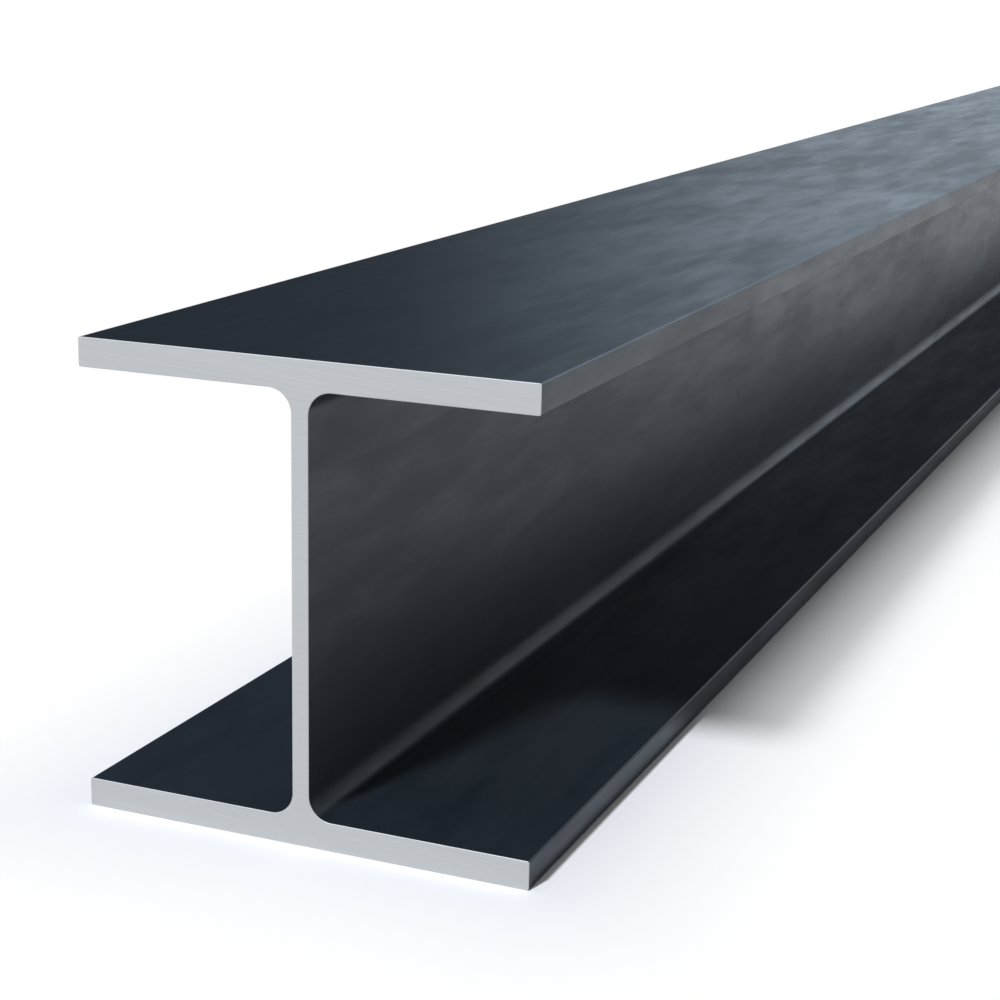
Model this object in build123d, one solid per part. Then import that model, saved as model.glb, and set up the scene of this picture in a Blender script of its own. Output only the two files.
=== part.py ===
from build123d import *
import os

# Wide-flange steel beam: one bar, hot rolled to an H section and sawn square at both ends.
# It lies on its bottom flange with its length along Y and +Z up. The origin is at floor level,
# under the middle of the bar. All sizes are in millimetres.

# Rolled section: the ten inch wide-flange shape that weighs 54 pounds a foot
section_depth = 256.3      # from the bottom flange's underside to the top flange's upper face
flange_width = 254.8
flange_thickness = 15.6
web_thickness = 9.4
root_radius = 12.7         # fillet that the rolls leave where the web meets a flange
toe_radius = 1.2           # rounding that the edging rolls leave along the flange tips

# Bar as it is sold
stock_length = 6096.0      # twenty feet, the shortest length that mills and yards stock
burr_bevel = 0.5           # narrow bevel round each sawn end, where the burr was ground off


def reach(corner):
    """Distance of a corner of the section from the web's middle plane."""
    return abs(corner.X)


bottom_flange_middle = flange_thickness / 2
top_flange_middle = section_depth - flange_thickness / 2

with BuildPart() as beam:
    with BuildSketch(Plane.XZ) as section:
        # Two flanges, and a web that runs from the middle of one to the middle of the other
        with Locations((0, bottom_flange_middle), (0, top_flange_middle)):
            Rectangle(flange_width, flange_thickness)
        with Locations((0, section_depth / 2)):
            Rectangle(web_thickness, top_flange_middle - bottom_flange_middle)
        # The corners nearest the web are the roots, and the furthest are the flange tips
        fillet(section.vertices().group_by(reach)[0], root_radius)
        fillet(section.vertices().group_by(reach)[-1], toe_radius)
    extrude(amount=stock_length / 2, both=True)
    sawn_ends = faces().filter_by(Axis.Y)
    chamfer(sawn_ends.edges(), burr_bevel)

os.makedirs("parts", exist_ok=True)
export_step(beam.part, "parts/beam.step")
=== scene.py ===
import math

import bpy
from mathutils import Matrix, Vector


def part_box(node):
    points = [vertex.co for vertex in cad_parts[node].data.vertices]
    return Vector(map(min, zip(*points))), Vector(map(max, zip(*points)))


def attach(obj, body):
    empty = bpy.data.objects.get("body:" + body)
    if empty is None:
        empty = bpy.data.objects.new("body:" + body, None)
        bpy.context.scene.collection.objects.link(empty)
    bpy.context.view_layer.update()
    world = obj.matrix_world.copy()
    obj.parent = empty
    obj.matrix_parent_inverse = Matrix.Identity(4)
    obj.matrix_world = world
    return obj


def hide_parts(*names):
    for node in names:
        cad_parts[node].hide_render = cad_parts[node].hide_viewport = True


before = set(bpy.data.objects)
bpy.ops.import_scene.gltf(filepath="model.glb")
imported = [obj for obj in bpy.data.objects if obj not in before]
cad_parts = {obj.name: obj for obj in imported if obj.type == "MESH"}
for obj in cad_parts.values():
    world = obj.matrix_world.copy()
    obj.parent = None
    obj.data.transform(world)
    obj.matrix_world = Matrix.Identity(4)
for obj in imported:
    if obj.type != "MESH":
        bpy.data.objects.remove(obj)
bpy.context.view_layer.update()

# The bar: one length of structural carbon steel, hot rolled from a bloom to an H section and sawn
# square at both ends. The rolls leave a fillet at each root of the web and a small rounding on the
# flange tips, and the saw's burr is ground to a narrow bevel.
low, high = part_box("beam")
flange_width = high.x - low.x
bar_length = high.y - low.y
flange_thickness = 0.0156
web_thickness = 0.0094
root_radius = 0.0127
toe_radius = 0.0012
burr_bevel = 0.0005
root_steps = 24           # facets round a root fillet, enough for a smooth line of light
toe_steps = 8
span_length = 0.100       # the rolled faces are divided into spans of about this length

# Corners of the section as (x, z, rounding, steps), counter-clockwise as seen from the front
tip = flange_width / 2
web = web_thickness / 2
lower_inner = low.z + flange_thickness
upper_inner = high.z - flange_thickness
corners = [
    (-tip, low.z, toe_radius, toe_steps),
    (tip, low.z, toe_radius, toe_steps),
    (tip, lower_inner, toe_radius, toe_steps),
    (web, lower_inner, root_radius, root_steps),
    (web, upper_inner, root_radius, root_steps),
    (tip, upper_inner, toe_radius, toe_steps),
    (tip, high.z, toe_radius, toe_steps),
    (-tip, high.z, toe_radius, toe_steps),
    (-tip, upper_inner, toe_radius, toe_steps),
    (-web, upper_inner, root_radius, root_steps),
    (-web, lower_inner, root_radius, root_steps),
    (-tip, lower_inner, toe_radius, toe_steps),
]


def rounded_section(corners):
    """The section's outline as (point, outward normal) pairs, each corner rounded with an arc."""
    outline = []
    for index, (x, z, radius, steps) in enumerate(corners):
        corner = Vector((x, 0, z))
        before = Vector((corners[index - 1][0], 0, corners[index - 1][1]))
        following = corners[(index + 1) % len(corners)]
        after = Vector((following[0], 0, following[1]))
        arriving = (corner - before).normalized()
        leaving = (after - corner).normalized()
        centre = corner + radius * (leaving - arriving)
        bulges = arriving.cross(leaving).y < 0
        for step in range(steps + 1):
            turn = math.radians(90) * step / steps
            spoke = arriving * math.sin(turn) - leaving * math.cos(turn)
            outline.append((centre + radius * spoke, spoke if bulges else -spoke))
    return outline


outline = rounded_section(corners)
ring_size = len(outline)
rolled_length = bar_length - 2 * burr_bevel
spans = round(rolled_length / span_length)
ring_count = spans + 3

# Rings of points along the bar: one sawn face's edge, the ends of the spans, the other sawn face's edge
points = []
for point, normal in outline:
    points.append(point - burr_bevel * normal + Vector((0, low.y, 0)))
for span in range(spans + 1):
    station = low.y + burr_bevel + rolled_length * span / spans
    for point, normal in outline:
        points.append(point + Vector((0, station, 0)))
for point, normal in outline:
    points.append(point - burr_bevel * normal + Vector((0, high.y, 0)))

# Distance round the section to each point of the outline, and all the way round
girths = [0.0]
for step in range(ring_size):
    to_next = outline[(step + 1) % ring_size][0] - outline[step][0]
    girths.append(girths[-1] + to_next.length)

# A flat map for the finish, a square of side 1. The rolled faces lie in it as one strip, with more room
# round
# # the section than along it, because their streaks run along. The ends lie side by side above it.
map_margin = 0.005
strip_height = 0.70
end_bottom = 0.715
end_lefts = (0.005, 0.305)
end_width = 0.28
end_scale = end_width / flange_width


def on_strip(ring, step):
    """Where a point of the rolled faces lies in the flat map."""
    along = map_margin + (1 - 2 * map_margin) * (ring - 1) / spans
    around = map_margin + (strip_height - map_margin) * girths[step] / girths[-1]
    return along, around


def on_end(index, end_left):
    """Where a point of a sawn end lies in the flat map."""
    point = points[index]
    return end_left + (point.x - low.x) * end_scale, end_bottom + (point.z - low.z) * end_scale


ROLLED, SAWN = 0, 1
front_face = Vector((0, -1, 0))
back_face = Vector((0, 1, 0))
faces = []
face_normals = []
face_finish = []
face_map = []
for ring in range(ring_count - 1):
    for step in range(ring_size):
        beside = (step + 1) % ring_size
        near, far = ring * ring_size, (ring + 1) * ring_size
        face = (near + step, far + step, far + beside, near + beside)
        faces.append(face)
        here, there = outline[step][1], outline[beside][1]
        if ring == 0:
            here_bevel = (here + front_face).normalized()
            there_bevel = (there + front_face).normalized()
            face_normals += [front_face, here_bevel, there_bevel, front_face]
            face_map += [on_end(index, end_lefts[0]) for index in face]
            face_finish.append(SAWN)
        elif ring == ring_count - 2:
            here_bevel = (here + back_face).normalized()
            there_bevel = (there + back_face).normalized()
            face_normals += [here_bevel, back_face, back_face, there_bevel]
            face_map += [on_end(index, end_lefts[1]) for index in face]
            face_finish.append(SAWN)
        else:
            face_normals += [here, here, there, there]
            face_map += [on_strip(ring, step), on_strip(ring + 1, step)]
            face_map += [on_strip(ring + 1, step + 1), on_strip(ring, step + 1)]
            face_finish.append(ROLLED)
last_ring = (ring_count - 1) * ring_size
front_end = tuple(range(ring_size))
back_end = tuple(reversed(range(last_ring, last_ring + ring_size)))
sawn_faces = [
    (front_end, front_face, end_lefts[0]),
    (back_end, back_face, end_lefts[1]),
]
for face, normal, end_left in sawn_faces:
    faces.append(face)
    face_normals += [normal] * ring_size
    face_map += [on_end(index, end_left) for index in face]
    face_finish.append(SAWN)

bar_mesh = bpy.data.meshes.new("rolled_bar")
bar_mesh.from_pydata(points, [], faces)
bar_mesh.polygons.foreach_set("use_smooth", [True] * len(faces))
bar_mesh.polygons.foreach_set("material_index", face_finish)
bake_map = bar_mesh.uv_layers.new(name="OFBake")
bake_map.data.foreach_set("uv", [share for spot in face_map for share in spot])
bar_mesh.normals_split_custom_set(face_normals)
bar = bpy.data.objects.new("rolled_bar", bar_mesh)
bpy.context.scene.collection.objects.link(bar)


def linear(hex_colour):
    """Linear RGBA of an sRGB colour written as hex."""
    shares = [int(hex_colour[start:start + 2], 16) / 255 for start in (1, 3, 5)]
    return [s / 12.92 if s <= 0.04045 else ((s + 0.055) / 1.055) ** 2.4 for s in shares] + [1]


def add_node(tree, kind, settings, inputs):
    """Adds a node, sets its properties, and fills its inputs with values or other nodes' outputs."""
    added = tree.nodes.new(kind)
    for name, value in settings.items():
        setattr(added, name, value)
    for name, value in inputs.items():
        if isinstance(value, bpy.types.NodeSocket):
            tree.links.new(value, added.inputs[name])
        else:
            added.inputs[name].default_value = value
    return added


# Mill scale: the thin blue-black oxide skin that grows on hot steel and is rolled smooth. To the eye it is
# dark and satin, half way between a stone and a metal, with soft streaks drawn out along the bar where it
# is thicker or thinner, in its gloss and its colour. The flanges' upper corners carry a pale line: rubbed
# scale and a painted highlight.
cloud_size = (0.100, 0.320, 0.100)      # across, along and up the bar
streak_size = (0.024, 0.110, 0.024)
streak_share = 0.6                      # of the streaks in the pattern, the rest being clouds
pattern_seed = 4.5
pattern_range = (0.36, 0.64)            # the pattern's level where the scale is thickest, and thinnest
thick_scale = "#1D2329"
thin_scale = "#31373D"
scale_metal = (0.24, 0.44)              # of thick scale, and of thin
scale_dullness = (0.36, 0.26)
scale_sheen = 0.17
sheen_tint = "#ECF5FF"
grain_size = (0.005, 0.080, 0.005)      # the rolls' print, drawn coarser than the real one, so it shows
grain_depth = 0.00005
grain_strength = 0.5
grain_dullness = 0.06
# The pale line along the flanges' upper outer corners, called rubbing below, is partly rubbed scale and
# partly a painted highlight, which is why it is faint on the lower flange and full on the upper one.
rubbed_and_highlight_scale = "#5C6063"
rubbed_and_highlight_metal = 0.8
rub_and_highlight_reach = (0.0013, 0.0004)            # from a corner: where the rubbing starts, and where it is full
rub_and_highlight_low, rub_and_highlight_high = 0.1, 1.0            # how far the lower flange's corners are rubbed, and the upper's

mill_scale = bpy.data.materials.new("mill_scale")
mill_scale.use_nodes = True
tree = mill_scale.node_tree
tree.nodes.clear()
on_bar = add_node(tree, "ShaderNodeTexCoord", {}, {})
cloud_place = add_node(tree, "ShaderNodeVectorMath", {"operation": "DIVIDE"}, {
    0: on_bar.outputs["Object"],
    1: cloud_size,
})
clouds = add_node(tree, "ShaderNodeTexNoise", {"noise_dimensions": "4D"}, {
    "Vector": cloud_place.outputs["Vector"],
    "W": pattern_seed,
    "Scale": 1,
    "Detail": 3,
    "Roughness": 0.5,
})
streak_place = add_node(tree, "ShaderNodeVectorMath", {"operation": "DIVIDE"}, {
    0: on_bar.outputs["Object"],
    1: streak_size,
})
streaks = add_node(tree, "ShaderNodeTexNoise", {"noise_dimensions": "4D"}, {
    "Vector": streak_place.outputs["Vector"],
    "W": pattern_seed,
    "Scale": 1,
    "Detail": 4,
    "Roughness": 0.6,
    "Distortion": 0.4,
})
mottle = add_node(tree, "ShaderNodeMix", {"data_type": "FLOAT"}, {
    "Factor": streak_share,
    "A": clouds.outputs["Fac"],
    "B": streaks.outputs["Fac"],
})
thinness = add_node(tree, "ShaderNodeMapRange", {"interpolation_type": "SMOOTHSTEP"}, {
    "Value": mottle.outputs["Result"],
    "From Min": pattern_range[0],
    "From Max": pattern_range[1],
})
grain_place = add_node(tree, "ShaderNodeVectorMath", {"operation": "DIVIDE"}, {
    0: on_bar.outputs["Object"],
    1: grain_size,
})
grain = add_node(tree, "ShaderNodeTexNoise", {}, {
    "Vector": grain_place.outputs["Vector"],
    "Scale": 1,
    "Detail": 2,
    "Roughness": 0.5,
})
scale_colour = add_node(tree, "ShaderNodeMix", {"data_type": "RGBA"}, {
    "Factor": thinness.outputs["Result"],
    "A": linear(thick_scale),
    "B": linear(thin_scale),
})
scale_metallic = add_node(tree, "ShaderNodeMapRange", {}, {
    "Value": thinness.outputs["Result"],
    "To Min": scale_metal[0],
    "To Max": scale_metal[1],
})
scale_gloss = add_node(tree, "ShaderNodeMapRange", {}, {
    "Value": thinness.outputs["Result"],
    "To Min": scale_dullness[0],
    "To Max": scale_dullness[1],
})
scale_roughness = add_node(tree, "ShaderNodeMath", {"operation": "MULTIPLY_ADD"}, {
    0: grain.outputs["Fac"],
    1: grain_dullness,
    2: scale_gloss.outputs["Result"],
})
printed = add_node(tree, "ShaderNodeBump", {}, {
    "Strength": grain_strength,
    "Distance": grain_depth,
    "Height": grain.outputs["Fac"],
})

# How far a point lies from the nearest upper outer corner of a flange, and how strong the pale line is
# there
spot = add_node(tree, "ShaderNodeSeparateXYZ", {}, {"Vector": on_bar.outputs["Object"]})
across = add_node(tree, "ShaderNodeMath", {"operation": "ABSOLUTE"}, {0: spot.outputs["X"]})
from_tip = add_node(tree, "ShaderNodeMath", {"operation": "SUBTRACT"}, {
    0: tip,
    1: across.outputs["Value"],
})
from_top = add_node(tree, "ShaderNodeMath", {"operation": "SUBTRACT"}, {
    0: high.z,
    1: spot.outputs["Z"],
})
above_ledge = add_node(tree, "ShaderNodeMath", {"operation": "SUBTRACT"}, {
    0: spot.outputs["Z"],
    1: lower_inner,
})
from_ledge = add_node(tree, "ShaderNodeMath", {"operation": "ABSOLUTE"}, {0: above_ledge.outputs["Value"]})
from_face = add_node(tree, "ShaderNodeMath", {"operation": "MINIMUM"}, {
    0: from_top.outputs["Value"],
    1: from_ledge.outputs["Value"],
})
from_corner = add_node(tree, "ShaderNodeMath", {"operation": "MAXIMUM"}, {
    0: from_tip.outputs["Value"],
    1: from_face.outputs["Value"],
})
# The pale line grows stronger with height, the upper flange's line being mostly a painted highlight
rub_and_highlight_level = add_node(tree, "ShaderNodeMapRange", {}, {
    "Value": spot.outputs["Z"],
    "From Min": low.z,
    "From Max": high.z,
    "To Min": rub_and_highlight_low,
    "To Max": rub_and_highlight_high,
})
rub_and_highlight_mask = add_node(tree, "ShaderNodeMapRange", {"interpolation_type": "SMOOTHSTEP"}, {
    "Value": from_corner.outputs["Value"],
    "From Min": rub_and_highlight_reach[0],
    "From Max": rub_and_highlight_reach[1],
    "To Max": rub_and_highlight_level.outputs["Result"],
})
# Mixes in the pale line: rubbed scale with a painted highlight
worn_and_highlight_colour = add_node(tree, "ShaderNodeMix", {"data_type": "RGBA"}, {
    "Factor": rub_and_highlight_mask.outputs["Result"],
    "A": scale_colour.outputs["Result"],
    "B": linear(rubbed_and_highlight_scale),
})
worn_and_highlight_metallic = add_node(tree, "ShaderNodeMix", {"data_type": "FLOAT"}, {
    "Factor": rub_and_highlight_mask.outputs["Result"],
    "A": scale_metallic.outputs["Result"],
    "B": rubbed_and_highlight_metal,
})
shader = add_node(tree, "ShaderNodeBsdfPrincipled", {}, {
    "Base Color": worn_and_highlight_colour.outputs["Result"],
    "Metallic": worn_and_highlight_metallic.outputs["Result"],
    "Roughness": scale_roughness.outputs["Value"],
    "Specular IOR Level": scale_sheen,
    "Specular Tint": linear(sheen_tint),
    "Normal": printed.outputs["Normal"],
})
add_node(tree, "ShaderNodeOutputMaterial", {}, {"Surface": shader.outputs["BSDF"]})

# Bare steel, band sawn: the two ends, cut cold and left dry. To the eye they are pale grey and satin, with
# fine straight marks, which the teeth leave one above the other as the blade comes down a little aslant.
mark_size = (0.120, 1.0, 0.0012)        # along a mark, through the bar and between marks, drawn coarser
mark_depth = 0.00005
mark_strength = 0.5
blade_cant = math.radians(4)
grey_steel = "#A5A5A3"
pale_steel = "#B7B7B5"
sawn_dullness = (0.58, 0.42)            # of the grey marks, and of the pale ones
sawn_metal = 0.25

sawn_steel = bpy.data.materials.new("sawn_steel")
sawn_steel.use_nodes = True
tree = sawn_steel.node_tree
tree.nodes.clear()
on_cut = add_node(tree, "ShaderNodeTexCoord", {}, {})
mark_place = add_node(tree, "ShaderNodeMapping", {"vector_type": "TEXTURE"}, {
    "Vector": on_cut.outputs["Object"],
    "Rotation": (0, blade_cant, 0),
    "Scale": mark_size,
})
marks = add_node(tree, "ShaderNodeTexNoise", {}, {
    "Vector": mark_place.outputs["Vector"],
    "Scale": 1,
    "Detail": 2,
    "Roughness": 0.6,
})
sawn_colour = add_node(tree, "ShaderNodeMix", {"data_type": "RGBA"}, {
    "Factor": marks.outputs["Fac"],
    "A": linear(grey_steel),
    "B": linear(pale_steel),
})
sawn_roughness = add_node(tree, "ShaderNodeMapRange", {}, {
    "Value": marks.outputs["Fac"],
    "To Min": sawn_dullness[0],
    "To Max": sawn_dullness[1],
})
ridged = add_node(tree, "ShaderNodeBump", {}, {
    "Strength": mark_strength,
    "Distance": mark_depth,
    "Height": marks.outputs["Fac"],
})
shader = add_node(tree, "ShaderNodeBsdfPrincipled", {}, {
    "Base Color": sawn_colour.outputs["Result"],
    "Metallic": sawn_metal,
    "Roughness": sawn_roughness.outputs["Result"],
    "Normal": ridged.outputs["Normal"],
})
add_node(tree, "ShaderNodeOutputMaterial", {}, {"Surface": shader.outputs["BSDF"]})

bar_mesh.materials.append(mill_scale)
bar_mesh.materials.append(sawn_steel)
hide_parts("beam")
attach(bar, "root")

# The floor: a wide sweep of matt white studio paper that the bar lies on. Away from the bar it is burnt out
# to plain white, and beside the bar it keeps the bar's shadow.
floor_reach = 150.0
shadow_reach = 0.11       # from the bar to where the paper is plain white
paper_colour = "#F9F7F4"
floor_mesh = bpy.data.meshes.new("studio_floor")
floor_corners = [(-1, -1), (1, -1), (1, 1), (-1, 1)]
floor_points = [(x * floor_reach, y * floor_reach, low.z) for x, y in floor_corners]
floor_mesh.from_pydata(floor_points, [], [(0, 1, 2, 3)])
floor = bpy.data.objects.new("studio_floor", floor_mesh)
bpy.context.scene.collection.objects.link(floor)
white_paper = bpy.data.materials.new("white_paper")
white_paper.use_nodes = True
white_paper.cycles.emission_sampling = "NONE"   # a lamp's samples don't say which kind of ray they are
tree = white_paper.node_tree
tree.nodes.clear()
on_floor = add_node(tree, "ShaderNodeTexCoord", {}, {})
from_middle = add_node(tree, "ShaderNodeVectorMath", {"operation": "ABSOLUTE"}, {
    0: on_floor.outputs["Object"],
})
past_bar = add_node(tree, "ShaderNodeVectorMath", {"operation": "SUBTRACT"}, {
    0: from_middle.outputs["Vector"],
    1: (flange_width / 2, bar_length / 2, 0),
})
off_bar = add_node(tree, "ShaderNodeVectorMath", {"operation": "MAXIMUM"}, {
    0: past_bar.outputs["Vector"],
    1: (0, 0, 0),
})
distance = add_node(tree, "ShaderNodeVectorMath", {"operation": "LENGTH"}, {0: off_bar.outputs["Vector"]})
glow_share = add_node(tree, "ShaderNodeMapRange", {}, {
    "Value": distance.outputs["Value"],
    "From Max": shadow_reach,
})
rays = add_node(tree, "ShaderNodeLightPath", {}, {})
camera_or_gloss = add_node(tree, "ShaderNodeMath", {"operation": "ADD"}, {
    0: rays.outputs["Is Camera Ray"],
    1: rays.outputs["Is Glossy Ray"],
})
seen = add_node(tree, "ShaderNodeMath", {"operation": "ADD", "use_clamp": True}, {
    0: camera_or_gloss.outputs["Value"],
    1: rays.outputs["Is Transmission Ray"],
})
seen_glow = add_node(tree, "ShaderNodeMath", {"operation": "MULTIPLY"}, {
    0: seen.outputs["Value"],
    1: glow_share.outputs["Result"],
})
paper = add_node(tree, "ShaderNodeBsdfDiffuse", {}, {"Color": linear(paper_colour)})
glow = add_node(tree, "ShaderNodeEmission", {}, {"Color": linear("#FFFFFF"), "Strength": 1})
surface = add_node(tree, "ShaderNodeMixShader", {}, {
    0: seen_glow.outputs["Value"],
    1: paper.outputs["BSDF"],
    2: glow.outputs["Emission"],
})
add_node(tree, "ShaderNodeOutputMaterial", {}, {"Surface": surface.outputs["Shader"]})
floor_mesh.materials.append(white_paper)

# The studio: a pale, slightly cool room. Two dark screens stand behind the bar, with a gap between them.
# The left one darkens the near end of the top flange, the right one darkens the bay beside the web, and the
# far end of the top flange shines with the gap. To the camera itself the room is plain white.
room_colour = "#E6F4FF"
room_fill = 0.07          # the room's level as a light, where its level in the gloss is 1

# A screen's edges in degrees, from pale to dark: two headings clockwise from the bar's length, and the top
screens = [
    {"left": (-74, -54), "right": (-10, -26.5), "top": (48, 28)},
    {"left": (3, 22), "right": (95, 70), "top": (30, 18)},
]
world = bpy.data.worlds.new("studio")
bpy.context.scene.world = world
world.use_nodes = True
world.cycles.sampling_method = "NONE"   # as for the paper
tree = world.node_tree
tree.nodes.clear()
direction = add_node(tree, "ShaderNodeTexCoord", {}, {})
outward = add_node(tree, "ShaderNodeSeparateXYZ", {}, {"Vector": direction.outputs["Generated"]})
heading = add_node(tree, "ShaderNodeMath", {"operation": "ARCTAN2"}, {
    0: outward.outputs["X"],
    1: outward.outputs["Y"],
})
rise = add_node(tree, "ShaderNodeMath", {"operation": "ARCSINE"}, {0: outward.outputs["Z"]})
uncovered = []
for screen in screens:
    shares = []
    for edge, angle in [("left", heading), ("right", heading), ("top", rise)]:
        shares.append(add_node(tree, "ShaderNodeMapRange", {"interpolation_type": "SMOOTHSTEP"}, {
            "Value": angle.outputs["Value"],
            "From Min": math.radians(screen[edge][0]),
            "From Max": math.radians(screen[edge][1]),
        }))
    between_sides = add_node(tree, "ShaderNodeMath", {"operation": "MULTIPLY"}, {
        0: shares[0].outputs["Result"],
        1: shares[1].outputs["Result"],
    })
    covered = add_node(tree, "ShaderNodeMath", {"operation": "MULTIPLY"}, {
        0: between_sides.outputs["Value"],
        1: shares[2].outputs["Result"],
    })
    uncovered.append(add_node(tree, "ShaderNodeMath", {"operation": "SUBTRACT"}, {
        0: 1,
        1: covered.outputs["Value"],
    }))
open_share = add_node(tree, "ShaderNodeMath", {"operation": "MULTIPLY"}, {
    0: uncovered[0].outputs["Value"],
    1: uncovered[1].outputs["Value"],
})
rays = add_node(tree, "ShaderNodeLightPath", {}, {})
gloss_or_glass = add_node(tree, "ShaderNodeMath", {"operation": "ADD", "use_clamp": True}, {
    0: rays.outputs["Is Glossy Ray"],
    1: rays.outputs["Is Transmission Ray"],
})
room_level = add_node(tree, "ShaderNodeMapRange", {}, {
    "Value": gloss_or_glass.outputs["Value"],
    "To Min": room_fill,
    "To Max": 1,
})
screened_level = add_node(tree, "ShaderNodeMath", {"operation": "MULTIPLY"}, {
    0: open_share.outputs["Value"],
    1: room_level.outputs["Result"],
})
seen_level = add_node(tree, "ShaderNodeMath", {"operation": "MAXIMUM"}, {
    0: screened_level.outputs["Value"],
    1: rays.outputs["Is Camera Ray"],
})
seen_colour = add_node(tree, "ShaderNodeMix", {"data_type": "RGBA"}, {
    "Factor": rays.outputs["Is Camera Ray"],
    "A": linear(room_colour),
    "B": linear("#FFFFFF"),
})
room = add_node(tree, "ShaderNodeBackground", {}, {
    "Color": seen_colour.outputs["Result"],
    "Strength": seen_level.outputs["Value"],
})
add_node(tree, "ShaderNodeOutputWorld", {}, {"Surface": room.outputs["Background"]})

# The lamps: a key from the front left, half way up, for the shadows, a broad light nearly overhead, a weak
# fill at each side, and a weak broad light from behind on the right, for the line along the root fillet.
# Each is (name, colour, strength, degrees wide, degrees left of the front, degrees up).
for name, colour, strength, width, leftward, upward in [
    ("key_light", "#EEF4FF", 3.65, 6, 14, 42),
    ("overhead_light", "#EEF4FF", 0.55, 40, 65, 81),
    ("right_fill", "#FFF4DD", 0.22, 30, -80, 8),
    ("left_fill", "#EEF4FF", 0.6, 30, 90, 10),
    ("back_light", "#FFFFFF", 0.15, 30, 204, 12),
]:
    lamp = bpy.data.lights.new(name, "SUN")
    lamp.color = linear(colour)[:3]
    lamp.energy = strength
    lamp.angle = math.radians(width)
    lamp_holder = bpy.data.objects.new(name, lamp)
    turn_left = math.radians(leftward)
    turn_up = math.radians(upward)
    towards_lamp = Vector((
        -math.sin(turn_left) * math.cos(turn_up),
        -math.cos(turn_left) * math.cos(turn_up),
        math.sin(turn_up),
    ))
    lamp_holder.rotation_euler = towards_lamp.to_track_quat("Z", "Y").to_euler()
    bpy.context.scene.collection.objects.link(lamp_holder)

# The camera: to the right in front of the near end, looking down along the bar, at the photograph's angle.
camera_from_middle = 0.480
camera_from_end = 0.901
camera_height = 0.450
camera_heading = math.radians(22.451)   # left of the bar's length
camera_dip = math.radians(14.489)
camera_roll = math.radians(1.224)
camera_data = bpy.data.cameras.new("camera")
camera_data.sensor_width = 36           # millimetres, and so is the lens
camera_data.lens = 76.18
camera_data.clip_end = 400              # metres, past the floor's far corners
camera = bpy.data.objects.new("camera", camera_data)
bpy.context.scene.collection.objects.link(camera)
camera.matrix_world = (
    Matrix.Translation((camera_from_middle, low.y - camera_from_end, camera_height))
    @ Matrix.Rotation(camera_heading, 4, "Z")
    @ Matrix.Rotation(math.radians(90) - camera_dip, 4, "X")
    @ Matrix.Rotation(camera_roll, 4, "Z")
)
bpy.context.scene.camera = camera
bpy.context.scene.view_settings.view_transform = "Standard"
